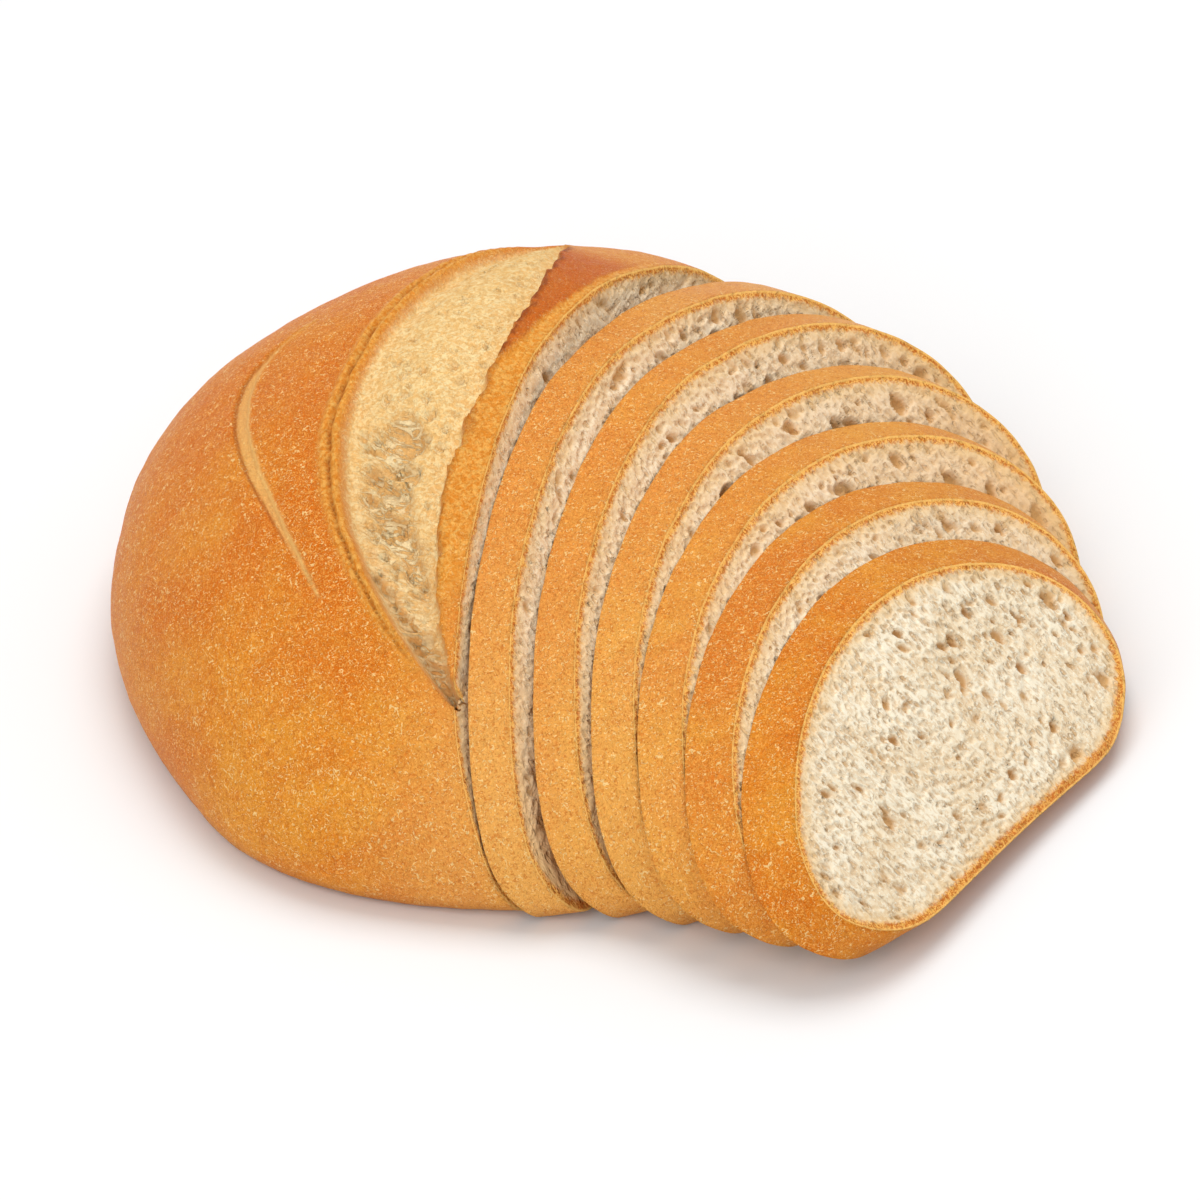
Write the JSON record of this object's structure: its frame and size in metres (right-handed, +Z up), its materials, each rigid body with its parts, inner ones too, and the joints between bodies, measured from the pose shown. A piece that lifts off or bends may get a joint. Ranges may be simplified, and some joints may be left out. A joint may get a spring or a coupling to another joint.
{
  "type": "sliced round loaf",
  "caption": "Round wheat loaf with a burst crust, part sliced: the uncut end stands on its flat base and its slices lean back on it in a fanned row.",
  "frame": {"origin": "on the table, under the middle of the whole row in plan", "axes": "+Z up, +X along the row from the uncut end to the front slice, +Y towards the back of the loaf"},
  "size_m": [0.2868, 0.241, 0.088],
  "materials": {
    "crust": "satin",
    "crumb": "matte"
  },
  "bodies": {
    "root": {"uncut_loaf": "crust", "slice_1": "crumb", "slice_2": "crumb", "slice_3": "crumb", "slice_4": "crumb", "slice_5": "crumb", "slice_6": "crumb"}
  },
  "joints": []
}
